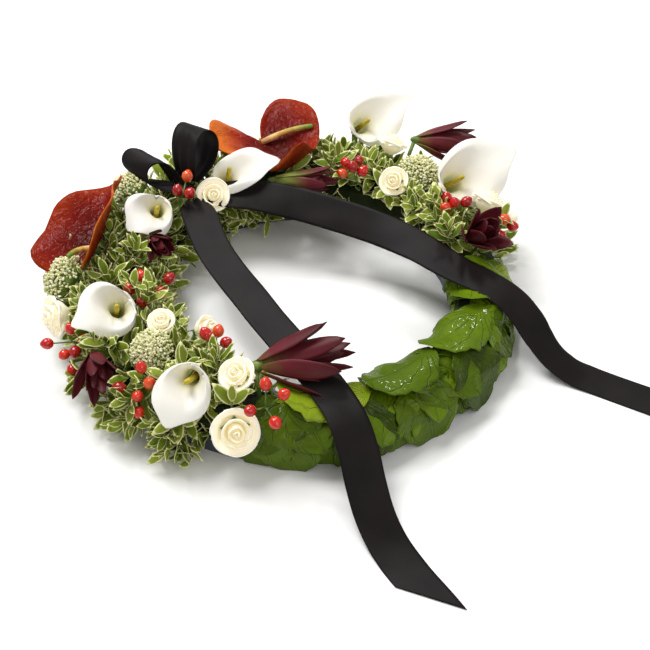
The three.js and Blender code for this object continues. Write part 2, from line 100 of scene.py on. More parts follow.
def foot(clock, spot):
    """Where a stem that comes from a spot ends in the foam."""
    core = place(clock, CORE_REACH, CORE_HEIGHT)
    return core + (spot - core).normalized() * STEM_END * MM


def within(posed, size, *spot):
    """A spot of a piece that is drawn one unit large, at its real size in millimetres and in its place."""
    return posed @ (Vector(spot) * size * MM)


print("ring axis", [round(value, 4) for value in RING], "radius", round((tray_high.x - tray_low.x) / 2, 4))

# %% [markdown]
# ## From parts to a piece
# A flower is many petals, so a piece is gathered from small bmeshes. Each part gets its finish by number and a
# `tone` from 0 to 1, which lets one material vary from petal to petal. Petals, leaves and ribbon all start as a
# grid that is shaped and then given its thickness; stems are a circle extruded along a path. Thicknesses and radii
# are given in millimetres.

# %% A shaped grid
def finished_part(part, finish=0, tone=0.5):
    layer = part.verts.layers.float.get("tone") or part.verts.layers.float.new("tone")
    for vert in part.verts:
        vert[layer] = tone
    for face in part.faces:
        face.material_index = finish
        face.smooth = True
    return part


def leafy(shape, across, along, thickness, finish=0, tone=0.5):
    """A grid shaped by shape(u, v), u from -1 to 1 across and v from 0 to 1 along, then made a thin solid."""
    part = bmesh.new()
    part.loops.layers.uv.new("along")
    bmesh.ops.create_grid(part, x_segments=across, y_segments=along, size=1, calc_uvs=True)
    for vert in part.verts:
        vert.co = Vector(shape(vert.co.x, (vert.co.y + 1) / 2))
    bmesh.ops.remove_doubles(part, verts=part.verts[:], dist=1e-6)
    bmesh.ops.solidify(part, geom=part.faces[:], thickness=thickness * MM)
    bmesh.ops.recalc_face_normals(part, faces=part.faces[:])
    return finished_part(part, finish, tone)

# %% Stems and balls
def stem(points, start, end, sides=6, finish=0):
    """A round stem through the points, from one radius to the other, closed at both ends."""
    part = bmesh.new()
    part.loops.layers.uv.new("along")
    frames = []
    for i, point in enumerate(points):
        along = points[min(i + 1, len(points) - 1)] - points[max(i - 1, 0)]
        radius = start + (end - start) * i / (len(points) - 1)
        frames.append(standing(point, along) @ Matrix.Scale(radius * MM, 4))
    bmesh.ops.create_circle(part, cap_ends=True, radius=1, segments=sides, matrix=frames[0])
    last = part.faces[:]
    for before, after in zip(frames, frames[1:]):
        grown = bmesh.ops.extrude_face_region(part, geom=last)["geom"]
        verts = [item for item in grown if isinstance(item, bmesh.types.BMVert)]
        last = [item for item in grown if isinstance(item, bmesh.types.BMFace)]
        bmesh.ops.transform(part, matrix=after @ before.inverted(), verts=verts)
    bmesh.ops.recalc_face_normals(part, faces=part.faces[:])
    return finished_part(part, finish)


def bent(start, end, sag=Vector((0, 0, 0)), steps=5):
    """Points from start to end, bowed by sag in the middle."""
    return [start.lerp(end, i / steps) + sag * (4 * (i / steps) * (1 - i / steps)) for i in range(steps + 1)]


def rooted(spot, clock, start, end, sides, finish=1):
    """The stem from a spot down into the foam."""
    return stem(bent(spot, foot(clock, spot)), start, end, sides, finish)


def ball(matrix, across=8, down=6, finish=1, tone=0.5):
    part = bmesh.new()
    part.loops.layers.uv.new("along")
    bmesh.ops.create_uvsphere(part, u_segments=across, v_segments=down, radius=1, calc_uvs=True, matrix=matrix)
    return finished_part(part, finish, tone)


def bead(spot, radius, across, down, tone=0.5):
    """The round end of a spadix."""
    return ball(Matrix.Translation(spot) @ Matrix.Scale(radius * MM, 4), across, down, 1, tone)


def core(posed, size, height, half, across, down):
    """A ball stretched to the half sizes, which fills the middle of a head."""
    middle = posed @ Matrix.Translation((0, 0, height * size * MM))
    return ball(middle @ Matrix.Diagonal((*half, 1)) @ Matrix.Scale(size * MM, 4), across, down)

# %% Gather the parts of a piece
def shown(name, data):
    """A new object that holds the data, in the scene."""
    made = bpy.data.objects.new(name, data)
    bpy.context.scene.collection.objects.link(made)
    return made


def piece(name, parts, finishes, stands_for=()):
    """Joins the parts to one object in place, rides it on the body and hides the CAD solids that it stands for."""
    whole = bmesh.new()
    for part in parts:
        scrap = bpy.data.meshes.new("part")
        part.to_mesh(scrap)
        part.free()
        whole.from_mesh(scrap)
        bpy.data.meshes.remove(scrap)
    mesh = bpy.data.meshes.new(name)
    whole.to_mesh(mesh)
    whole.free()
    for finish in finishes:
        mesh.materials.append(finish)
    made = shown(name, mesh)
    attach(made, "root")
    if stands_for:
        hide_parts(*stands_for)
    print(name, len(parts), "parts,", len(mesh.polygons), "faces")
    return made


def smooth(low, high, value):
    t = min(1, max(0, (value - low) / (high - low)))
    return t * t * (3 - 2 * t)


# %% [markdown]
# ## Materials
# `add` puts one node, with its settings and links, into the material that was started last. A socket is named by
# its order or its label, with an underscore for a space, and it takes a value, a hex colour, a node, which is
# linked by its first output, or an output.

# %% Node helper and colours
MIX = {"data_type": "RGBA"}
FACTOR, FIRST, SECOND, MIXED = 0, 6, 7, 2
TONE = {"attribute_name": "tone"}
MULTIPLY = {"operation": "MULTIPLY"}
MULTIPLY_ADD = {"operation": "MULTIPLY_ADD"}


def linear(code, alpha=1):
    """An sRGB hex colour as linear red, green, blue and alpha."""
    parts = [int(code[i:i + 2], 16) / 255 for i in (1, 3, 5)]
    return [c / 12.92 if c <= 0.04045 else ((c + 0.055) / 1.055) ** 2.4 for c in parts] + [alpha]


def join(node, links=(), **named):
    """Sets or links a node's sockets."""
    numbered = links if isinstance(links, dict) else dict(enumerate(links))
    for key, value in [*numbered.items(), *named.items()]:
        target = node.inputs[key.replace("_", " ") if isinstance(key, str) else key]
        if isinstance(value, bpy.types.Node):
            value = value.outputs[0]
        if isinstance(value, bpy.types.NodeSocket):
            tree.links.new(value, target)
        else:
            target.default_value = linear(value) if isinstance(value, str) else value


def add(kind, settings=(), links=(), **named):
    """Adds a ShaderNode of a kind to the material in hand."""
    made = tree.nodes.new("ShaderNode" + kind)
    for key, value in dict(settings).items():
        if key == "stops":
            while len(made.color_ramp.elements) < len(value):
                made.color_ramp.elements.new(1)
            for element, (where, code) in zip(made.color_ramp.elements, value):
                element.position = where
                element.color = linear(code)
        else:
            setattr(made, key, value)
    join(made, links, **named)
    return made

# %% Start a finish
def finish_of(name):
    """A new material, with its output and shader, that add works in from here on, and the shader's node."""
    global tree
    made = bpy.data.materials.new(name)
    made.use_nodes = True
    tree = made.node_tree
    tree.nodes.clear()
    shader = add("BsdfPrincipled")
    add("OutputMaterial", Surface=shader)
    print("finish", name)
    return made, shader


def grained(name, stops, cloud, grain=None, bump=None, share=None, **sockets):
    """A finish that drifts between colours. cloud and grain are the scale and detail of a coarse and a fine noise,
    bump is the strength and distance of the finer one, and share is what the cloud adds to the part's own tone."""
    made, shader = finish_of(name)
    spot = add("TexCoord").outputs["Object"]
    drift = fine = add("TexNoise", Vector=spot, Scale=cloud[0], Detail=cloud[1])
    if grain:
        fine = add("TexNoise", Vector=spot, Scale=grain[0], Detail=grain[1])
    if share:
        drift = add("Math", MULTIPLY_ADD, [drift, share, add("Attribute", TONE).outputs["Fac"]])
    if bump:
        join(shader, Normal=add("Bump", Strength=bump[0], Distance=bump[1], Height=fine))
    join(shader, Base_Color=add("ValToRGB", {"stops": stops}, [drift]), **sockets)
    return made


# %% [markdown]
# ### Tray and foam
# The tray is injection-moulded polypropylene: an even slate colour, a satin gloss and the faint orange-peel that a
# textured mould leaves. Floral foam is a phenolic foam, crushed into fine grit wherever a stem or a thumb has
# touched it, so it is matt all over, with darker wet patches.

# %% Moulded polypropylene and phenolic foam
moulded_tray = grained("tray_moulded_polypropylene", [(0.3, "#2c3846"), (0.7, "#41505f")], (22.0, 3.0), (900.0, 2.0),
                       (0.25, 0.0003), Roughness=0.38, IOR=1.49)
floral_foam = grained("foam_crushed_phenolic", [(0.3, "#121a06"), (0.75, "#2a3810")], (45.0, 3.0), (700.0, 4.0),
                      (0.9, 0.0012), Roughness=0.95, IOR=1.4)

# %% [markdown]
# ### Petals
# A rose petal and a calla's spathe are thin, soft and slightly translucent, so they keep light shadows. Both are
# greenish where they join the stem and cream at the edge, and their fine veins run lengthwise: the pattern reads
# the petal's own map, where v runs from foot to edge. `tone` warms the inner petals. A rose's petals lie many
# deep and pass light on to each other, which a faint cream glow of their own stands for.

# %% Rose petal
rose_petal, shader = finish_of("rose_petal_cream")
spot = add("UVMap")
tone = add("Attribute", TONE).outputs["Fac"]
run = add("SeparateXYZ", (), [spot]).outputs["Y"]
outer = add("ValToRGB", {"stops": [(0.0, "#c8c07e"), (0.25, "#ebe2ba"), (0.6, "#f2ecd8"), (1.0, "#f4efe2")]}, [run])
inner = add("ValToRGB", {"stops": [(0.0, "#bdb66e"), (0.5, "#e4daa8"), (1.0, "#ece3c4")]}, [run])
shade = add("Mix", MIX, {FACTOR: tone, FIRST: outer, SECOND: inner}).outputs[MIXED]
veins = add("Mapping", Vector=spot, Scale=(26.0, 2.0, 1.0))
veins = add("TexNoise", Vector=veins, Scale=1.6, Detail=3.0)
rise = add("Bump", Strength=0.3, Distance=0.0004, Height=veins)
join(shader, Base_Color=shade, Roughness=0.55, IOR=1.4, Normal=rise, Sheen_Weight=0.25, Sheen_Roughness=0.5)
join(shader, Subsurface_Weight=0.15, Subsurface_Radius=(1.0, 0.85, 0.6), Subsurface_Scale=0.004)
join(shader, Emission_Color="#eee2bc", Emission_Strength=0.22)

# %% Calla spathe
calla_spathe, shader = finish_of("calla_spathe_cream")
spot = add("UVMap")
run = add("SeparateXYZ", (), [spot]).outputs["Y"]
CALLA_STOPS = [(0.0, "#8fa348"), (0.3, "#b9c46a"), (0.5, "#ece6b0"), (0.68, "#faf4e2"), (1.0, "#fcf7ec")]
shade = add("ValToRGB", {"stops": CALLA_STOPS}, [run])
veins = add("Mapping", Vector=spot, Scale=(60.0, 1.5, 1.0))
veins = add("TexNoise", Vector=veins, Scale=1.2, Detail=2.0)
rise = add("Bump", Strength=0.25, Distance=0.0004, Height=veins)
join(shader, Base_Color=shade, Roughness=0.42, IOR=1.42, Normal=rise, Sheen_Weight=0.15, Sheen_Roughness=0.4)
join(shader, Subsurface_Weight=0.4, Subsurface_Radius=(1.0, 0.9, 0.7), Subsurface_Scale=0.006)

# %% [markdown]
# ### Spadix
# The spadix is a club of tiny packed flowers, about 1 mm each, so it is rough with small round bumps. A calla's is
# yellow; an anthurium's goes from peach at its foot to green at its tip.

# %% Spadix finishes
PACKED_FLOWERS = 800.0


def spadix_finish(name, stops, roughness, toned):
    made, shader = finish_of(name)
    grain = add("TexVoronoi", Vector=add("TexCoord").outputs["Object"], Scale=PACKED_FLOWERS)
    source = add("Attribute", TONE).outputs["Fac"] if toned else grain
    shade = add("ValToRGB", {"stops": stops}, [source])
    rise = add("Bump", {"invert": True}, Strength=0.8, Distance=0.0005, Height=grain)
    join(shader, Base_Color=shade, Roughness=roughness, IOR=1.4, Normal=rise)
    return made


calla_spadix = spadix_finish("calla_spadix_yellow", [(0.0, "#e2c93c"), (0.8, "#a7962a")], 0.6, False)
PEACH_TO_GREEN = [(0.0, "#e9b98a"), (0.45, "#d9b25e"), (1.0, "#6f8f2e")]
anthurium_spadix = spadix_finish("anthurium_spadix_peach", PEACH_TO_GREEN, 0.5, True)

# %% [markdown]
# ### Anthurium spathe
# A waxy modified leaf, blistered between its veins and glossy as lacquer. It is dark red and turns orange-red
# towards the edge, where it is thin. `tone` paints one whole side lighter and more orange, as where light shines
# through it: painted light. A thin clear coat over the bumpy base breaks the highlights up.

# %% Waxy spathe
anthurium_spathe, shader = finish_of("anthurium_spathe_waxy_red")
spot = add("TexCoord").outputs["Object"]
out = add("SeparateXYZ", (), [add("UVMap")]).outputs["Y"]
cloud = add("TexNoise", Vector=spot, Scale=30.0, Detail=3.0)
edge = add("Math", MULTIPLY_ADD, [cloud, 0.5, out])
edge = add("Math", MULTIPLY, [edge, 0.6])
# painted light: tone lifts one whole side of the spathe to the lighter orange stops, as where light shines through it
edge = add("Math", MULTIPLY_ADD, [add("Attribute", TONE).outputs["Fac"], 0.34, edge])
shade = add("ValToRGB", {"stops": [(0.3, "#4a0b05"), (0.6, "#741408"), (0.85, "#9c330e"), (1.0, "#c0601e")]}, [edge])
blister = add("TexNoise", Vector=spot, Scale=85.0, Detail=2.5, Distortion=1.6)
rise = add("Bump", Strength=1.0, Distance=0.0035, Height=blister)
join(shader, Base_Color=shade, Roughness=0.5, IOR=1.1, Normal=rise)
join(shader, Coat_Weight=0.16, Coat_Roughness=0.05, Coat_Normal=rise)

# %% [markdown]
# ### Bracts, berries and buds
# Leucadendron bracts are leathery, olive at the foot and burgundy at the tip. Hypericum berries are taut and
# shiny, some still orange. The small buds are matt and go from cream to yellow-green.

# %% Leathery bract
leucadendron_bract, shader = finish_of("leucadendron_bract_leathery")
run = add("SeparateXYZ", (), [add("UVMap")]).outputs["Y"]
cloud = add("TexNoise", Vector=add("TexCoord").outputs["Object"], Scale=60.0, Detail=3.0)
ripe = add("Math", MULTIPLY_ADD, [cloud, 0.35, run])
ripe = add("Math", MULTIPLY_ADD, [add("Attribute", TONE).outputs["Fac"], -0.5, ripe])
shade = add("ValToRGB", {"stops": [(0.0, "#77803a"), (0.2, "#6d4a30"), (0.42, "#66222a"), (1.0, "#4a1118")]}, [ripe])
rise = add("Bump", Strength=0.3, Distance=0.0005, Height=cloud)
join(shader, Base_Color=shade, Roughness=0.45, IOR=1.3, Normal=rise)

# %% Taut berry and matt bud
BERRY_STOPS = [(0.1, "#d9792a"), (0.3, "#d93a16"), (0.6, "#c9130c"), (1.0, "#9c0907")]
hypericum_berry = grained("hypericum_berry_taut", BERRY_STOPS, (180.0, 2.0), share=0.25, Roughness=0.22, IOR=1.45,
                          Coat_Weight=0.5, Coat_Roughness=0.08)
BUD_STOPS = [(0.1, "#a3a95a"), (0.5, "#dcdaa4"), (1.0, "#f3efd2")]
cream_bud = grained("flower_bud_matt_cream", BUD_STOPS, (400.0, 2.0), bump=(0.4, 0.0003), share=0.3, Roughness=0.75,
                    IOR=1.4)

# %% [markdown]
# ### Leaves and stems
# The large leaves are glossy and deep green, puckered between fine nerves, with a few pale veins that fan out from
# the foot; the fan is drawn from the leaf's own map. Pittosporum leaves are grey-green and keep a cream margin of
# 1 to 2 mm whose width wanders, so a noise is added to the distance from the edge.

# %% Glossy leaf
large_leaf, shader = finish_of("large_leaf_glossy")
spot = add("TexCoord").outputs["Object"]
map_axes = add("SeparateXYZ", (), [add("UVMap")]).outputs
side = add("Math", {"operation": "SUBTRACT"}, [map_axes["X"], 0.5])
run = add("Math", {"operation": "ADD"}, [map_axes["Y"], 0.1])
ray = add("Math", {"operation": "DIVIDE"}, [side, run])
ray = add("Math", MULTIPLY, [ray, 2.1])
comb = add("Math", {"operation": "PINGPONG"}, [ray, 0.5])
vein = add("MapRange", {"interpolation_type": "SMOOTHSTEP"}, Value=comb, From_Max=0.09, To_Min=1.0, To_Max=0.0)
net = add("TexVoronoi", {"feature": "DISTANCE_TO_EDGE"}, Vector=spot, Scale=130.0)
cloud = add("TexNoise", Vector=spot, Scale=34.0, Detail=4.0)
mood = add("Math", MULTIPLY_ADD, [cloud, 0.45, add("Attribute", TONE).outputs["Fac"]])
blade = add("ValToRGB", {"stops": [(0.25, "#2b3a03"), (0.65, "#4c6206"), (1.0, "#69840c"), (1.0, "#84991c")]}, [mood])
pale = add("Math", MULTIPLY, [vein, 0.16])
shade = add("Mix", MIX, {FACTOR: pale, FIRST: blade, SECOND: "#8fae4e"}).outputs[MIXED]
folds = add("TexNoise", Vector=spot, Scale=42.0, Detail=2.0)
folds = add("Math", MULTIPLY_ADD, [vein, -0.35, folds])
folds = add("Math", MULTIPLY_ADD, [net, 0.25, folds])
rise = add("Bump", Strength=0.9, Distance=0.005, Height=folds)
join(shader, Base_Color=shade, Roughness=0.5, IOR=1.12, Normal=rise)
join(shader, Coat_Weight=0.28, Coat_Roughness=0.1, Coat_Normal=rise)

# %% Variegated leaf
variegated_leaf, shader = finish_of("pittosporum_leaf_variegated")
map_axes = add("SeparateXYZ", (), [add("UVMap")]).outputs
side = add("Math", {"operation": "PINGPONG"}, [map_axes["X"], 0.5])
tips = add("Math", {"operation": "PINGPONG"}, [map_axes["Y"], 0.5])
inset = add("Math", {"operation": "MINIMUM"}, [side, tips])
cloud = add("TexNoise", Vector=add("TexCoord").outputs["Object"], Scale=150.0, Detail=3.0)
inset = add("Math", MULTIPLY_ADD, [cloud, 0.14, inset])
margin = add("ValToRGB", {"stops": [(0.16, "#e8e4aa"), (0.23, "#8c9a34")]}, [inset])
deep = add("ValToRGB", {"stops": [(0.13, "#dedb9a"), (0.2, "#5a7414")]}, [inset])
tone = add("Attribute", TONE).outputs["Fac"]
shade = add("Mix", MIX, {FACTOR: tone, FIRST: margin, SECOND: deep}).outputs[MIXED]
join(shader, Base_Color=shade, Roughness=0.45, IOR=1.25)

# %% Stem
green_stem = grained("stem_fresh_green", [(0.3, "#3c5620"), (0.7, "#7c9440")], (120.0, 3.0), bump=(0.3, 0.0004),
                     Roughness=0.5, IOR=1.45)

# %% [markdown]
# ### Ribbon satin and the pick
# Satin is woven with long floats that lie along the ribbon, so near-black satin keeps a soft gleam along its bends
# and is almost black elsewhere. Its threads are about 0.1 mm, too fine to show, so they are drawn at 0.5 mm as
# faint ribs. The map's y runs along the ribbon. The pick is stained wood, matt and finely grained.

# %% Satin
ribbon_satin, shader = finish_of("ribbon_satin_near_black")
threads = add("Mapping", Vector=add("UVMap"), Scale=(80.0, 6.0, 1.0))
threads = add("TexNoise", Vector=threads, Scale=1.0, Detail=2.0)
cloud = add("TexNoise", Vector=add("TexCoord").outputs["Object"], Scale=25.0, Detail=3.0)
shade = add("ValToRGB", {"stops": [(0.3, "#0f0b0b"), (0.75, "#1b1515")]}, [cloud])
gleam = add("MapRange", Value=threads, To_Min=0.5, To_Max=0.62)
rise = add("Bump", Strength=0.2, Distance=0.0003, Height=threads)
join(shader, Base_Color=shade, Roughness=gleam, IOR=1.24, Normal=rise, Anisotropic=0.5)
join(shader, Sheen_Weight=0.04, Sheen_Roughness=0.35, Sheen_Tint="#8d7a72")

# %% Stained wood
stained_pick = grained("pick_stained_wood", [(0.3, "#3d4a30"), (0.7, "#6a7552")], (300.0, 3.0), Roughness=0.7, IOR=1.5)
print(len(bpy.data.materials), "materials")

# %% [markdown]
# ## Tray and foam
# Both CAD solids have the right shape already, so they stay and only get their finish. The foam is nearly hidden.

# %% Finish the tray and the foam
def carry_over(name, finish):
    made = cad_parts[name]
    made.data.materials.clear()
    made.data.materials.append(finish)


carry_over("tray_ring", moulded_tray)
carry_over("foam_ring", floral_foam)

# %% [markdown]
# ## Ribbon
# The ribbon is 40 mm wide satin. Each tail follows the same points as its CAD solid: a smooth curve with a roll
# that tips the band towards one edge. The run is a grid laid along that curve, so that its map follows the cloth.
# It starts gathered at the knot, where pleats run along it, and ends in a slanted cut. The cloth is 0.35 mm thick.

# %% The curve that the tails follow
RIBBON_WIDTH = 40
CLOTH = 0.35
GATHER = 0.5
TAIL_GATHER = 0.75
GATHER_LENGTH = 30
SLANT_START = 0.8
PATH_STEPS = 200


def curve_point(points, t):
    """A point on the centripetal Catmull-Rom curve through the points, t from 0 to 1."""
    spots = [Vector(point[:3]) for point in points]
    spots = [spots[0] * 2 - spots[1]] + spots + [spots[-1] * 2 - spots[-2]]
    run = min(t, 0.999999) * (len(points) - 1)
    i = int(run)
    a, b, c, d = spots[i:i + 4]
    first, middle, last = ((q - p).length ** 0.5 for p, q in ((a, b), (b, c), (c, d)))
    leave = ((b - a) / first - (c - a) / (first + middle) + (c - b) / middle) * middle
    arrive = ((c - b) / middle - (d - b) / (middle + last) + (d - c) / last) * middle
    w = run - i
    square, cube = w * w, w * w * w
    return b + leave * w + (3 * (c - b) - 2 * leave - arrive) * square + (2 * (b - c) + leave + arrive) * cube


def tail_station(points, t):
    """The ribbon's middle at t, in millimetres from the ring's axis, and its side, facing and run there."""
    middle = curve_point(points, t)
    along = (curve_point(points, min(1, t + 1e-3)) - curve_point(points, max(0, t - 1e-3))).normalized()
    run = min(t * (len(points) - 1), len(points) - 1.0001)
    i = int(run)
    roll = points[i][3] + (points[i + 1][3] - points[i][3]) * (run - i)
    side = Vector((0, 0, 1)).cross(along).normalized()
    side.rotate(Matrix.Rotation(-radians(roll), 3, along))
    return middle, side, along.cross(side).normalized(), along

# %% From the curve to the cloth
def tail_shape(points, slant, seed):
    start = Vector(points[0][:3])

    def shape(u, v):
        middle, side, facing, along = tail_station(points, v)
        spread = smooth(0, GATHER_LENGTH, (middle - start).length)
        half = RIBBON_WIDTH / 2 * (TAIL_GATHER + (1 - TAIL_GATHER) * spread)
        pleat = 3.0 * (1 - spread) * sin(u * 9)
        loose = smooth(40, 90, (middle - start).length) * smooth(4, 30, middle.z)
        ripple = loose * 1.3 * noise.noise(Vector((middle.x / 42, middle.y / 42, u * 0.9 + seed)))
        crown = -0.8 * loose * u * u
        cut = slant * u * max(0, (v - SLANT_START) / (1 - SLANT_START))
        spot = middle - side * half * u + facing * (pleat + ripple + crown) - along * cut
        spot.z = max(spot.z, 0.4)
        return RING + spot * MM

    return shape


def satin(name, shape, along, length):
    """A run of ribbon, built as one piece; the length of its path is printed."""
    made = piece(name + "_satin", [leafy(shape, 12, along, CLOTH)], [ribbon_satin], [name])
    print(name, "length", round(length), "mm")


def path_length(point):
    steps = [point(i / PATH_STEPS) for i in range(PATH_STEPS + 1)]
    return sum((b - a).length for a, b in zip(steps, steps[1:]))


# %% [markdown]
# The two tails leave the bow together. One runs to the front over the inner edge of the ring, the other crosses
# the hole tipped towards the front, and flattens on the table at the right. Each point is x, y, z and roll.

# %% Build both tails
FRONT_TAIL = [
    (-128, 96, 84, 0), (-119, 76, 86, 0), (-95, 10, 82, 0), (-54, -60, 76, 0), (-12, -126, 71, 0),
    (31, -190, 67, 0), (50, -228, 61, 0), (59, -254, 48, 0), (66, -280, 30, 0), (74, -304, 14, 0),
    (84, -326, 5, 0), (99, -352, 1.2, 0), (122, -388, 1.2, 0),
]
LONG_TAIL = [
    (-120, 115, 80, 0), (-92, 117, 78, -10), (-60, 115, 79, -25), (-12, 103, 77, -35), (34, 86, 74, -35),
    (90, 62, 69, -30), (132, 32, 68, -18), (166, 0, 67, -8), (201, -26, 66, 0), (226, -46, 61, 0),
    (243, -64, 50, 0), (257, -80, 34, 0), (272, -92, 17, 0), (292, -103, 5.5, 0), (318, -116, 1.4, 0),
    (398, -160, 1.4, 0),
]
TAILS = {"ribbon_tail_front": (FRONT_TAIL, 27, 3), "ribbon_tail_long": (LONG_TAIL, -22, 8)}
for name, (points, slant, seed) in TAILS.items():
    length = path_length(lambda t: curve_point(points, t))
    satin(name, tail_shape(points, slant, seed), 150, length)

# %% [markdown]
# ## Bow
# A loop is a band that leaves the knot, bends back and returns to it, pleated where the knot grips it. The knot is
# a short band wrapped round the middle, and a wooden pick holds the bow in the foam.

# %% The shape of a loop
KNOT = Vector((-135, 110, 91))
LOOP_START = 0.16
LOOP_GAP = 1.6


def loop_run(t, height):
    """How far along its reach and how far open a loop is at t, from 0 to 1."""
    turn = FULL_TURN * t
    opening = height / 2 * sin(turn) * sin(turn / 2) + LOOP_GAP * cos(turn / 2)
    return LOOP_START + (1 - LOOP_START) * (1 - cos(turn)) / 2, opening


def loop_shape(out, across, height):
    reach, side = Vector(out), Vector(across).normalized()
    apart = reach.cross(side).normalized()

    def shape(u, v):
        away, opening = loop_run(v, height)
        full = max(0, sin(pi * v)) ** 0.4
        half = RIBBON_WIDTH / 2 * (GATHER + (1 - GATHER) * full)
        pleat = 3.7 * (1 - full) * sin(9 * u)
        soft = full * 1.4 * noise.noise(Vector((u * 1.3, v * 5, height)))
        return RING + (KNOT + reach * away + apart * (opening + pleat + soft) + side * half * u) * MM

    return shape

# %% Build the loops
BOW_LOOPS = {
    "bow_loop_left": ((-56, 16, 26), (0.8, -0.58, -0.15), 36),
    "bow_loop_upright": ((16, 52, 50), (0.78, -0.6, 0.12), 50),
}
for name, (out, across, height) in BOW_LOOPS.items():
    length = path_length(lambda t: Vector((Vector(out).length * loop_run(t, height)[0], loop_run(t, height)[1], 0)))
    satin(name, loop_shape(out, across, height), 64, length)

# %% Build the knot
def knot_shape(u, v):
    turn = FULL_TURN * v
    bulge = 1 - 0.25 * u * u + 0.06 * sin(9 * u)
    return RING + (KNOT + Vector((9.5 * u, 7.4 * bulge * cos(turn), 6.2 * bulge * sin(turn)))) * MM


knot = piece("bow_knot_satin", [leafy(knot_shape, 12, 28, CLOTH)], [ribbon_satin], ["bow_knot"])
carry_over("bow_pick", stained_pick)

# %% [markdown]
# ## Anthuriums
# The spathe is heart-shaped: its outline is drawn with the same curves as the solid, and the grid runs round that
# outline in u and from the middle out in v. It is cupped, its margin waves, and it puffs up between its veins.
# The spadix rises from the notch and leans towards the tip.

# %% The heart and the spathe
HEART = [
    ((0, -0.22), (0.1, -0.62), (0.52, -0.62), (0.5, -0.12)),
    ((0.5, -0.12), (0.48, 0.24), (0.16, 0.38), (0, 0.56)),
    ((0, 0.56), (-0.16, 0.38), (-0.48, 0.24), (-0.5, -0.12)),
    ((-0.5, -0.12), (-0.52, -0.62), (-0.1, -0.62), (0, -0.22)),
]


def heart_outline(t):
    run = min(t, 0.999999) * len(HEART)
    a, b, c, d = (Vector(p) for p in HEART[int(run)])
    w = run - int(run)
    return a * (1 - w) ** 3 + b * (3 * w * (1 - w) ** 2) + c * (3 * w * w * (1 - w)) + d * w ** 3


def spathe_shape(posed, size, wide, fold, lift, seed):
    middle = Vector((0, -0.12))

    def shape(u, v):
        spot = middle + (heart_outline((u + 1) / 2) - middle) * v
        angle = atan2(spot.y - middle.y, spot.x)
        cup = 0.25 * (spot.x * spot.x + spot.y * spot.y)
        veins = 0.012 * v * (1 - v * 0.4) * abs(sin(angle * 9))
        puff = 0.014 * noise.noise(Vector((spot.x * 9, spot.y * 9, seed)))
        wave = 0.03 * smooth(0.6, 1, v) * sin(angle * 5 + seed)
        bend = fold * smooth(0, 0.5, abs(spot.x)) / 2 + lift * smooth(0.2, 0.56, spot.y) ** 2
        return within(posed, size, spot.x * wide, spot.y, cup + veins + puff + wave + bend)

    return shape

# %% Build the anthuriums
def anthurium(name, spot, facing, roll, size, wide, fold, lift, lean, clock, seed):
    posed = standing(place(*spot), direction(*facing), roll)
    spathe = leafy(spathe_shape(posed, size, wide, fold, lift, seed), 56, 16, 0.9)
    # tone paints the spathe lighter and more orange across one side, as where light shines through it: painted light
    layer = spathe.verts.layers.float["tone"]
    for vert in spathe.verts:
        vert[layer] = smooth(-0.15, 0.4, (posed.inverted() @ vert.co).x / size / MM)
    notch = within(posed, size, 0, -0.2, 0.02)
    tip = within(posed, size, lean[0], lean[1] - 0.2, 0.22)
    spadix = stem(bent(notch, tip, posed.to_3x3() @ Vector((0, 0, 0.004)), 8), 4.2, 2.8, 12, 1)
    layer = spadix.verts.layers.float["tone"]
    for vert in spadix.verts:
        vert[layer] = (vert.co - notch).length / (tip - notch).length
    parts = [spathe, spadix, bead(tip, 2.8, 12, 8, 1.0), rooted(notch, clock, 2.6, 3, 8, 2)]
    piece(name + "_flower", parts, [anthurium_spathe, anthurium_spadix, green_stem], [name])


anthurium("anthurium_left", (169.5, 227, 84), (200, 54), 50, 132, 0.74, 0.46, -0.08, (0, -0.18), 168, 2)
anthurium("anthurium_back", (100, 211, 71), (270, 86), -148, 126, 1.06, 0.34, 0.42, (-0.4, 0.25), 101, 5)

# %% [markdown]
# ## Callas
# A calla's spathe is one leaf rolled into a funnel: its edges overlap at the front, its mouth is slanted, and its
# lip rolls back and ends in a green-tipped point. The grid's u goes round the funnel and v from foot to rim. Each
# mouth's middle and size are kept, so that no foliage grows across it later.

# %% The funnel
MOUTHS = []


def calla_shape(posed, size, tip, seed):
    def shape(u, v):
        angle = pi * 1.06 * u
        point = exp(-((angle / 0.3) ** 2))
        open_ = smooth(0.5, 1, v)
        roll = smooth(0.84, 1, v)
        tube = 0.05 + 0.06 * smooth(0, 0.5, v) + 0.05 * smooth(0.45, 0.75, v)
        across = (tube + 0.2 * open_ + 0.01 * u) * sin(angle)
        reach = (tube + 0.2 * open_ + 0.01 * u) * cos(angle) + 0.2 * open_ * open_
        height = -0.5 + 0.56 * smooth(0, 0.86, v) + 0.4 * open_ * reach
        reach += tip * point * smooth(0.78, 1, v) + 0.04 * roll * cos(angle)
        across += 0.05 * roll * sin(angle)
        height -= roll * (0.02 + 0.07 * abs(sin(angle)) ** 1.5) - 0.04 * tip * point
        height += 0.035 * open_ * sin(3 * angle + seed)
        across += 0.03 * open_ * sin(2 * angle + 2 * seed)
        return within(posed, size, across, reach, height)

    return shape

# %% Build the callas
def calla(name, spot, facing, roll, size, clock, tip, seed):
    posed = standing(place(*spot), direction(*facing), roll)
    MOUTHS.append((within(posed, size, 0, 0.18, 0.1), 0.4 * size * MM))
    top, neck = within(posed, size, 0, 0.05, 0.12), within(posed, size, 0, 0, -0.46)
    parts = [leafy(calla_shape(posed, size, tip, seed), 48, 30, 0.5)]
    parts.append(stem(bent(within(posed, size, 0, 0, -0.4), top, steps=6), 3.4, 2.6, 10, 1))
    parts += [bead(top, 2.6, 10, 6), rooted(neck, clock, 4.2, 3.4, 10, 2)]
    piece(name + "_flower", parts, [calla_spathe, calla_spadix, green_stem], [name])


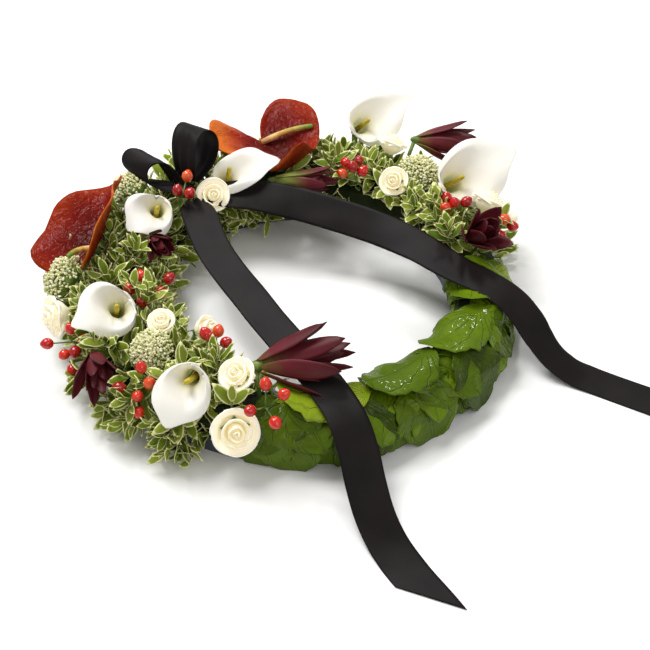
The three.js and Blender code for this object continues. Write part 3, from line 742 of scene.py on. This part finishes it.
calla("calla_front", (-118, 222, 88), (-100, 40), 165, 70, -116, 0.12, 0)
calla("calla_left", (-154, 207, 86), (-60, 55), 95, 76, -154, 0.16, 2)
calla("calla_middle", (155, 179, 88), (-60, 55), 110, 70, 158, 0.15, 3)
calla("calla_bow", (122.5, 167, 88), (-70, 78), -98, 80, 122, 0.2, 4)
calla("calla_back", (72, 238, 104), (-70, 45), -75, 82, 72, 0.2, 5)
calla("calla_right", (33, 212, 98), (-68, 46), -78, 94, 33, 0.2, 6)

# %% [markdown]
# ## Leaf outline
# A leaf is the same grid with a pointed outline. `curl` lifts its tip, `fold` lifts its edges, and a wave keeps two
# leaves from being twins. Sepals, bracts and all the small foliage use it. `swung` turns a place round a head's
# axis, shifts it and tips it, which is how petals and bracts are set.

# %% Leaf shape
def leaf_shape(posed, length, width, curl=0.15, fold=0.15, seed=0.0, wave=0.04, belly=0.45, blunt=0.85):
    def shape(u, v):
        half = sin(pi * v ** (log(0.5) / log(belly))) ** blunt if 0 < v < 1 else 0
        lift = curl * length * v * v + fold * width * abs(u) * half
        lift += wave * length * abs(u) * sin(v * 9 + seed * 5) * half
        return posed @ (Vector((u * half * width / 2, v * length, lift)) * MM)

    return shape


def tipped(degrees):
    return Matrix.Rotation(radians(degrees), 4, "X")


def swung(posed, turn, shift, lean):
    return posed @ Matrix.Rotation(turn, 4, "Z") @ Matrix.Translation(shift) @ tipped(lean)


# %% [markdown]
# ## Roses
# A rose opens in rings of petals. The innermost ones wrap each other like a scroll; each ring further out is
# wider, lower and leans back more, until the outer petals roll their lips over. Every petal is a patch of a cup:
# u goes round the head and v from foot to lip. Five sepals and a green cup sit underneath.

# %% The rings of petals
ROSE_RINGS = [
    # petals, widest radius, lip radius, lip height, half-angle, rolled lip, tone
    (3, 0.20, 0.10, 0.60, 104, 0.03, 0.8),
    (3, 0.36, 0.27, 0.60, 92, 0.08, 0.5),
    (3, 0.56, 0.50, 0.50, 88, 0.15, 0.2),
    (5, 0.78, 0.82, 0.26, 64, 0.22, 0.0),
]


def rose_petal_shape(posed, size, start, belly, lip, height, half, rolled, seed):
    def shape(u, v):
        spread = 0.3 + 0.7 * smooth(0, 0.55, v) - 0.16 * smooth(0.8, 1, v)
        angle = start + radians(half) * u * spread
        radius = 0.12 + (belly - 0.12) * smooth(0, 0.8, v + 0.12) + (lip - belly) * smooth(0.55, 1, v)
        top = height - 0.16 * u * u * smooth(0.4, 1, v)
        z = -0.82 + (top + 0.82) * v ** 1.15
        curl = smooth(0.68, 1, v)
        radius += rolled * curl + 0.035 * u
        z -= rolled * 0.7 * curl * curl * (0.6 + 0.4 * abs(u))
        radius += 0.02 * noise.noise(Vector((u * 2 + seed, v * 3, seed * 1.7)))
        return within(posed, size, radius * cos(angle), radius * sin(angle), z)

    return shape

# %% Build the roses
def rose(name, spot, facing, size, clock, open_=1.0, warm=0.0, rings=4):
    chance = random.Random(name)
    posed = standing(place(*spot), direction(*facing))
    parts, turn = [], chance.uniform(0, 6)
    for count, belly, lip, height, half, rolled, tone in ROSE_RINGS[:rings]:
        for k in range(count):
            start = turn + FULL_TURN * (k + chance.uniform(-0.12, 0.12)) / count
            close = (1 - 0.25 * (1 - open_)) * chance.uniform(0.94, 1.05)
            top, seed = height + chance.uniform(-0.05, 0.04), chance.uniform(0, 50)
            shape = rose_petal_shape(posed, size, start, belly * close, lip * close, top, half, open_ * rolled, seed)
            parts.append(leafy(shape, 12, 12, 1.5, 0, min(1, tone + warm)))
        turn += 2.4
    for k in range(5):
        leaf = swung(posed, FULL_TURN * k / 5, (0, 0, -0.8 * size * MM), 38)
        parts.append(leafy(leaf_shape(leaf, 0.95 * size, 0.3 * size, 0.15, 0.1, k), 4, 6, 0.5, 1))
    parts.append(core(posed, size, -0.84, (0.24, 0.24, 0.2), 10, 8))
    parts.append(rooted(within(posed, size, 0, 0, -0.95), clock, 1.7, 2.2, 8))
    piece(name + "_flower", parts, [rose_petal, green_stem], [name])


rose("rose_front_low", (-104, 243, 55), (-80, 32), 23, -103)
rose("rose_front_high", (-107, 200, 88), (-125, 60), 18, -106)
rose("rose_inner", (-130, 147, 76), (-20, 35), 18, -130, 0.4, 0.1)
rose("rose_small", (-141, 180, 87), (-90, 70), 15, -141, 0.8, 0.1)
rose("rose_far_left", (-166, 270, 50), (-150, 12), 22, -164)
rose("rose_bow", (134, 148, 84), (-75, 42), 19, 131)
rose("rose_back_high", (61, 224, 96), (60, 62), 18, 60)
rose("rose_back_low", (51, 171, 85), (-110, 45), 17, 51, 1.0, 0.3)
rose("rose_right", (24, 236, 84), (50, 55), 20, 24)
rose("rose_far_right", (21, 262, 60), (20, 25), 13, 20, 0.3, 0.0, 3)

# %% [markdown]
# ## Leucadendrons
# A cone of long leathery bracts round a hidden knob. The bracts follow the golden angle, so none hides the one
# above it, and they open wider towards the outside.

# %% Build the leucadendrons
def leucadendron(name, spot, facing, length, broad, spread, clock, bracts=15, ripe=0.2):
    chance = random.Random(name)
    posed = standing(place(*spot), direction(*facing))
    parts = []
    for i in range(bracts):
        out = i / bracts
        reach = length * (0.7 + 0.3 * chance.random())
        lean = 90 - spread * (0.1 + 1.0 * out) - chance.uniform(-4, 4)
        shift = (0, (0.02 + 0.03 * out) * length * MM, (0.1 - 0.1 * out) * length * MM)
        leaf = swung(posed, i * GOLDEN_ANGLE, shift, lean)
        curl = chance.uniform(0.04, 0.2)
        shape = leaf_shape(leaf, reach, broad * length, curl, 0.12, i, 0.008, 0.52, 0.7)
        parts.append(leafy(shape, 6, 11, 1.0, 0, ripe * chance.random() * 2))
    parts.append(core(posed, length, 0.05, (0.06, 0.06, 0.12), 10, 8))
    parts.append(rooted(place(*spot), clock, 2.6, 2.4, 8))
    piece(name + "_head", parts, [leucadendron_bract, green_stem], [name])


leucadendron("leucadendron_front", (-104, 174, 78), (6, 7), 100, 0.22, 34, -100)
leucadendron("leucadendron_left", (-147, 250, 66), (-72, -8), 54, 0.26, 46, -147)
leucadendron("leucadendron_middle", (168, 172, 78), (-62, 20), 50, 0.24, 30, 166, ripe=0.5)
leucadendron("leucadendron_back", (104, 150, 77), (-8, 4), 76, 0.22, 20, 97, ripe=0.6)
leucadendron("leucadendron_high", (57, 250, 92), (0, -4), 80, 0.22, 26, 57)
leucadendron("leucadendron_right", (14, 193, 66), (-50, 50), 60, 0.36, 42, 10, 13)

# %% [markdown]
# ## Hypericum berries
# Each berry stands on a short stalk that forks from one twig, in a collar of five green sepals. The places of the
# berries, measured from the fork, are those of the solids.

# %% A berry and its places
BERRY = 6.4
HYPERICUMS = {
    "hypericum_left": ((-157, 250, 44), -156, [
        (-8, -2, 20), (-32, -14, 10), (-14, -22, 2), (-3, -20, 4), (-6, -32, -10), (6, -10, 12)]),
    "hypericum_low": ((-130, 234, 56), -130, [(-4, 6, 24), (-26, -6, 8), (5, -8, 16), (-7, -16, 6), (-6, -24, -8)]),
    "hypericum_middle": ((-160, 168, 66), -161, [
        (-12, 22, 16), (-22, 4, 14), (-8, -10, 8), (10, 2, 10), (18, 20, 14)]),
    "hypericum_inner": ((-120, 168, 80), -120, [(-8, 4, 16), (4, 10, 14), (-2, -4, 18), (12, 0, 8)]),
    "hypericum_front": ((-98, 218, 68), -98, [(0, 10, 22), (18, 0, 18), (-14, -14, 10), (10, -22, 2)]),
    "hypericum_bow": ((150, 161, 84), 151, [(9, 25, 28), (-1, 8, 20), (13, 3, 20)]),
    "hypericum_back": ((66, 156, 80), 66, [(-12, 18, 12), (4, 20, 14), (-4, 4, 16), (8, 4, 10), (-16, 2, 8)]),
    "hypericum_right": ((25, 192, 80), 26, [
        (-8, 8, 14), (0, -2, 14), (-10, -6, 10), (14, 2, 12), (54, -28, 10), (64, -30, 2), (50, -40, -4)]),
}


def berry_ball(posed, size, tone):
    """A ball drawn out to a blunt point at its top."""
    berry = bmesh.new()
    berry.loops.layers.uv.new("along")
    bmesh.ops.create_uvsphere(berry, u_segments=14, v_segments=10, radius=1, calc_uvs=True)
    for vert in berry.verts:
        point = max(0, vert.co.z)
        vert.co.x *= 1 - 0.16 * point * point
        vert.co.y *= 1 - 0.16 * point * point
        vert.co.z *= 1.12 + 0.1 * point ** 8
    berry.transform(posed @ Matrix.Scale(size, 4))
    return finished_part(berry, 0, tone)

# %% Build the sprigs of berries
for name, (fork, clock, berries) in HYPERICUMS.items():
    chance = random.Random(name)
    fork = place(*fork)
    parts = [rooted(fork, clock, 1.2, 1.5, 6)]
    for offset in berries:
        stalk = Vector(offset) * MM
        posed = standing(fork + stalk, stalk)
        size = BERRY * chance.uniform(0.9, 1.05) * MM
        parts.append(berry_ball(posed, size, chance.uniform(0.12, 0.95)))
        parts.append(stem(bent(fork, fork + stalk - stalk.normalized() * size, steps=3), 0.9, 0.8, 6, 1))
        for k in range(5):
            leaf = swung(posed, FULL_TURN * k / 5, (0, 0, -1.12 * size), 24)
            parts.append(leafy(leaf_shape(leaf, 7.5, 4.4, 0.3, 0.2, k), 3, 4, 0.4, 1))
    for k in range(5):
        leaf = standing(fork, Vector((0, 0, 1)), 72 * k + chance.uniform(-20, 20)) @ tipped(chance.uniform(8, 35))
        shape = leaf_shape(leaf, chance.uniform(24, 32), 17, -0.2, 0.12, k, 0.03, 0.42)
        parts.append(leafy(shape, 6, 8, 0.5, 2, chance.uniform(0.3, 0.7)))
    piece(name + "_sprig", parts, [hypericum_berry, green_stem, large_leaf], [name])

# %% [markdown]
# ## Heads of small buds
# A flat-topped head carries about four hundred buds on thread-like stalks, with dark gaps between them. The buds
# are spread over the dome by the golden angle, and each is a few faces only, because there are hundreds.

# %% Build the bud heads
BUDS = 420


def bud_head(name, spot, facing, size, clock):
    chance = random.Random(name)
    base = place(*spot)
    posed = standing(base, direction(*facing))
    hub = within(posed, size, 0, 0, -0.5)
    parts = [rooted(base, clock, 1.6, 1.6, 6), core(posed, size, -0.06, (0.84, 0.84, 0.46), 20, 12)]
    for i in range(BUDS):
        reach = sqrt((i + 0.5) / BUDS)
        rise = 0.56 - 0.62 * reach ** 2.6 + chance.uniform(-0.1, 0.08)
        turn = i * GOLDEN_ANGLE + chance.uniform(-0.12, 0.12)
        spot = posed @ (Vector((reach * cos(turn), reach * sin(turn), rise)) * 0.93 * size * MM)
        radius = chance.uniform(1.15, 1.75) * MM
        bud = standing(spot, spot - hub) @ Matrix.Diagonal((radius, radius, radius * 1.25, 1))
        parts.append(ball(bud, 5, 4, 0, chance.uniform(0.1, 0.9)))
        if i % 6 == 0:
            parts.append(stem([hub, spot], 0.5, 0.35, 4, 1))
    piece(name + "_buds", parts, [cream_bud, green_stem], [name])


bud_head("bud_head_front", (-136, 206, 76), (-110, 60), 24, -136)
bud_head("bud_head_left", (-178, 262, 60), (180, 50), 29, -178)
bud_head("bud_head_middle", (149, 236, 84), (160, 60), 28, 150)
bud_head("bud_head_back", (115, 182, 70), (-90, 60), 21, 114)
bud_head("bud_head_right", (48, 208, 82), (-60, 72), 28, 47)

# %% [markdown]
# ## Pittosporum
# Variegated pittosporum fills the gaps between the flowers. A sprig carries oval, slightly wavy leaves in whorls
# near its end. Five sprigs stand for CAD solids; the rest come later, where there is room for them. No leaf reaches
# lower than a few millimetres above the table.

# %% A sprig
LOWEST_TIP = 6
LEAF_STEP = 3.6


def sprig_parts(base, tip, size, leaves, chance, keep=None, detail=(4, 8)):
    along = tip - base
    parts = [stem(bent(base, tip, steps=3), 1.1, 0.6, 5, 1)]
    posed = standing(base, along)
    for i in range(leaves):
        height = along.length - (1 + LEAF_STEP * i) * MM
        if height < 0:
            break
        lean = 66 - 40 * min(1, i / max(1, leaves - 1)) + chance.uniform(-12, 12)
        turn = Matrix.Rotation(i * GOLDEN_ANGLE + chance.uniform(-0.3, 0.3), 4, "Z")
        leaf = posed @ Matrix.Translation((0, 0, height)) @ turn @ tipped(lean)
        reach = size * chance.uniform(0.7, 1.1) * (0.72 + 0.28 * min(1, i / 3))
        end = leaf @ Vector((0, reach * MM, 0))
        if end.z < LOWEST_TIP * MM or (keep and not keep(leaf.translation, end)):
            continue
        curl, seed = chance.uniform(-0.3, 0.12), chance.uniform(0, 9)
        shape = leaf_shape(leaf, reach, 0.37 * reach, curl, 0.14, seed, 0.04, 0.54)
        parts.append(leafy(shape, *detail, 0.45, 0, chance.random()))
    return parts

# %% Build the solid sprigs
SPRIGS = {
    "pittosporum_left": (-172, (-173, 268, 30)), "pittosporum_low": (-138, (-139, 256, 24)),
    "pittosporum_front": (-119, (-119, 250, 24)), "pittosporum_middle": (178, (178, 182, 84)),
    "pittosporum_right": (38, (36, 160, 76)),
}
for name, (clock, spot) in SPRIGS.items():
    tip = place(*spot)
    parts = sprig_parts(foot(clock, tip), tip, 34, 13, random.Random(name))
    piece(name + "_sprig", parts, [variegated_leaf, green_stem], [name])

# %% [markdown]
# ## Large leaves
# The leaves are pinned flat over the foam, so each one is bent round the ring's section. The grid is first a heart
# with wavy edges, then every point is wrapped: its run goes round the ring and its climb goes over the section.
# Where a leaf would stand above the ribbon, it is pressed down to lie just under the cloth.

# %% A leaf wrapped round the foam
WRAP_RADIUS = 36
WRAP_HEIGHT = 21
LAYER_STEP = 2
UNDER_CLOTH = 1.2
DOWN = Vector((0, 0, -1))


def tree_of(*names):
    verts, faces = [], []
    for name in names:
        mesh = bpy.data.objects[name].data
        start = len(verts)
        verts.extend(vert.co.copy() for vert in mesh.vertices)
        faces.extend([start + i for i in face.vertices] for face in mesh.polygons)
    return BVHTree.FromPolygons(verts, faces)


cloth_tree = tree_of(*(name + "_satin" for name in [*TAILS, *BOW_LOOPS]))


def wrapped_leaf(clock, tilt, heading, length, width, layer, seed, lift_tip):
    bed = WRAP_RADIUS + layer * LAYER_STEP
    turn = radians(heading)

    def shape(u, v):
        foot_side, tip_side = min(1, (max(0, v) / 0.32)) ** 0.55, max(0, (v - 0.32) / 0.68) ** 2.3
        half = foot_side * (1 - tip_side) ** 0.8 if 0 < v < 1 else 0
        half *= 1 + 0.05 * sin(v * 26 + seed) + 0.04 * sin(v * 47 + 2 * seed)
        lobe = 0.1 * abs(u) * smooth(0.45, 0, v) * (1 - smooth(0, 0.04, v) * 0.2)
        across = u * half * width / 2
        forward = length * (v - 0.5 - lobe)
        wave = 2.8 * abs(u) * half * sin(v * 11 + seed + (2 if u > 0 else 0))
        wave += 2.2 * half * noise.noise(Vector((u * 1.6, v * 3.2, seed * 3.1)))
        lift = 1.2 + wave + lift_tip * v ** 4 - 1.8 * (1 - abs(u)) * half + 2 * u * u * half
        run = forward * cos(turn) + across * sin(turn)
        climb = forward * sin(turn) - across * cos(turn)
        over = radians(tilt) + climb / bed
        reach = CORE_REACH + (bed + lift) * cos(over)
        round_ = clock + degrees(run / (CORE_REACH + bed * cos(radians(tilt))))
        return place(round_, reach, max(0.7, WRAP_HEIGHT + (bed + lift) * sin(over)))

    return shape

# %% Build the large leaves
LARGE_LEAVES = [
    # clock, tilt over the section, heading, length, width, layer
    (-92, 20, -80, 74, 72, 0), (-74, 24, -100, 70, 70, 1), (-56, 22, -85, 76, 76, 0), (-38, 24, -95, 70, 72, 1),
    (-20, 22, -80, 80, 70, 0), (-3, 28, -95, 66, 66, 1), (-84, 100, 170, 86, 66, 2), (-58, 104, 190, 88, 68, 3),
    (-32, 104, 165, 88, 66, 2), (-7, 104, 185, 80, 62, 3),
]
for i, (clock, tilt, heading, length, width, layer) in enumerate(LARGE_LEAVES):
    name = "green_leaf_%02d" % (i + 1)
    shape = wrapped_leaf(clock, tilt, heading, length, width, layer, i, 10)
    part = leafy(shape, 22, 28, 0.7, 0, random.Random(name).random())
    for vert in part.verts:
        hit = cloth_tree.ray_cast(vert.co, DOWN, 0.02)[0]
        if hit:
            vert.co.z = hit.z - UNDER_CLOTH * MM
    over = radians(tilt)
    bed = WRAP_RADIUS + layer * LAYER_STEP
    pin = place(clock, CORE_REACH + bed * cos(over), WRAP_HEIGHT + bed * sin(over))
    pinned = stem([pin, foot(clock, pin)], 1.4, 1.2, 6, 1)
    piece(name + "_blade", [part, pinned], [large_leaf, green_stem], [name])

# %% [markdown]
# ## Filling foliage
# Between the flowers a florist leaves no foam bare. The extra sprigs below are rooted all round the foam, lean out
# from it, and are kept only where their leaves stay clear of the ribbon and of the flower heads, which a search
# tree of those pieces tells. The leaves of the quarter without flowers lie two deep, so a bed of plain ones goes
# under the ten of the solids.

# %% Where there is room
LOOK = Vector((0, 0.45, -0.9))
head_tree = tree_of(*(made.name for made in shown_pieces() if made.name.endswith(("_flower", "_head", "_buds"))))


def clear(spot, cloth, head):
    """At least so many mm from the ribbon and the heads, and over neither for one who looks down from the front."""
    if cloth_tree.find_nearest(spot)[3] < cloth * MM or head_tree.find_nearest(spot)[3] < head * MM:
        return False
    if any((spot - middle).length < radius for middle, radius in MOUTHS):
        return False
    return cloth_tree.ray_cast(spot, LOOK, 0.08)[0] is None and head_tree.ray_cast(spot, LOOK, 0.03)[0] is None


def free(start, end):
    """A leaf from start to end crosses neither the ribbon nor a head, and its tip has room."""
    run = end - start
    crossed = cloth_tree.ray_cast(start, run, run.length)[0] or head_tree.ray_cast(start, run, run.length)[0]
    return not crossed and clear(end, 4, 1)

# %% A bed of large leaves
extra = []
chance = random.Random(7)
for i in range(30):
    clock, inner = -98 + 3.6 * i + chance.uniform(-1, 1), i % 3 == 2
    tilt = chance.uniform(112, 145) if inner else (8, 58)[i % 2] + chance.uniform(-10, 10)
    heading = chance.uniform(150, 210) if inner else chance.uniform(-120, -60)
    length, width, layer = chance.uniform(56, 72), chance.uniform(56, 68), -1.1 - 0.8 * (i % 3)
    shape = wrapped_leaf(clock, tilt, heading, length, width, layer, i + 20, 12)
    part = leafy(shape, 14, 18, 0.6, 0, chance.uniform(0.2, 0.75))
    if min(cloth_tree.find_nearest(vert.co)[3] for vert in part.verts) > 1.5 * MM:
        extra.append(part)
print(len(extra), "leaves in the bed")
piece("foliage_large_leaves", extra, [large_leaf], ())

# %% Belts of sprigs
FILLING = {
    # clocks, sprigs, tilts over the section, reaches, leaf size, leaves on a sprig, seed
    "left_outer": ((-200, -110), 62, (-30, 55), (46, 68), 34, 8, 1),
    "left_top": ((-215, -104), 60, (50, 125), (38, 68), 34, 8, 2),
    "left_inner": ((-215, -100), 44, (125, 195), (36, 54), 34, 8, 3),
    "back_outer": ((18, 160), 66, (-30, 55), (46, 68), 34, 8, 4),
    "back_top": ((14, 146), 66, (50, 125), (38, 70), 34, 8, 5),
    "left_low": ((-216, -103), 70, (-10, 190), (30, 36), 28, 5, 7),
    "back_low": ((12, 146), 70, (-10, 160), (30, 36), 28, 5, 8),
    "back_inner": ((106, 146), 26, (125, 195), (34, 54), 34, 8, 6),
}
for name, (clocks, count, tilts, reaches, size, leaves, seed) in FILLING.items():
    chance = random.Random(seed)
    parts, kept = [], 0
    for _ in range(count * 6):
        if kept >= count:
            break
        clock = chance.uniform(*clocks)
        tilt = radians(chance.uniform(*tilts))
        reach = chance.uniform(*reaches)
        base = place(clock, CORE_REACH + 26 * cos(tilt), 26 + 20 * sin(tilt))
        height = max(9, 26 + reach * sin(tilt))
        tip = place(clock + chance.uniform(-6, 6), CORE_REACH + reach * cos(tilt), height)
        if clear(tip, 8, 2):
            kept += 1
            parts.extend(sprig_parts(base, tip, size * chance.uniform(0.8, 1.1), leaves, chance, free, (2, 6)))
    print(name, kept, "sprigs")
    piece("foliage_" + name, parts, [variegated_leaf, green_stem], ())

# %% [markdown]
# ## Floor, light and camera
# The wreath lies on a plain pale floor under soft studio light. The large key lamp stands above, behind and to the
# left; a wider, weaker fill comes from the front right. A small spark behind and a smaller glint at the back left
# draw the highlights on leaves and berries, and a bright even world does the rest.

# %% Lamps
LAMPS = {
    # place from the ring's axis in metres, diameter in metres, power in watts
    "key": ((-0.7, 0.5, 1.9), 1.1, 34),
    "fill": ((0.9, -1.3, 1.5), 1.6, 10),
    "spark": ((0.3, 1.5, 1.6), 0.3, 12),
    "glint": ((-0.9, 0.9, 1.5), 0.12, 4),
}
for name, (spot, size, power) in LAMPS.items():
    light = bpy.data.lights.new(name, "AREA")
    light.shape = "DISK"
    light.size = size
    light.energy = power
    lamp = shown(name, light)
    lamp.location = RING + Vector(spot)
    print("lamp", name, power, "W")
    lamp.rotation_euler = (-Vector(spot)).to_track_quat("-Z", "Y").to_euler()

# %% Floor and world
FLOOR_SIZE = 6
WORLD_COLOUR, WORLD_STRENGTH = (1, 0.985, 0.96, 1), 0.44

flat = bmesh.new()
bmesh.ops.create_grid(flat, x_segments=1, y_segments=1, size=FLOOR_SIZE)
floor_mesh = bpy.data.meshes.new("floor")
flat.to_mesh(floor_mesh)
flat.free()
floor = shown("floor", floor_mesh)
FLOOR_STOPS = [(0.0, "#f2f2f1"), (1.0, "#f8f8f7")]
floor_mesh.materials.append(grained("floor_matt_white", FLOOR_STOPS, (3.0, 2.0), Roughness=0.8))
floor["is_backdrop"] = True

world = bpy.data.worlds.new("studio")
world.use_nodes = True
world.node_tree.nodes["Background"].inputs["Color"].default_value = WORLD_COLOUR
world.node_tree.nodes["Background"].inputs["Strength"].default_value = WORLD_STRENGTH
bpy.context.scene.world = world

# %% Camera
CAMERA_SPOT = (26.9, -999.4, 896.1)
CAMERA_PITCH = 42.58
LENS = 65.18

camera_data = bpy.data.cameras.new("camera")
camera_data.sensor_width = 36
camera_data.lens = LENS
camera_data.clip_end = 20
camera = shown("camera", camera_data)
camera.location = RING + Vector(CAMERA_SPOT) * MM
camera.rotation_euler = (radians(90 - CAMERA_PITCH), 0, 0)
bpy.context.scene.view_settings.view_transform = "Standard"
bpy.context.scene.camera = camera
print("camera", [round(value, 3) for value in camera.location])

# %% Triangle counts
triangles = {}
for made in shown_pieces():
    if made.type == "MESH":
        made.data.calc_loop_triangles()
        triangles[made.name] = len(made.data.loop_triangles)
print(sum(triangles.values()), "triangles, most in", max(triangles, key=triangles.get), max(triangles.values()))
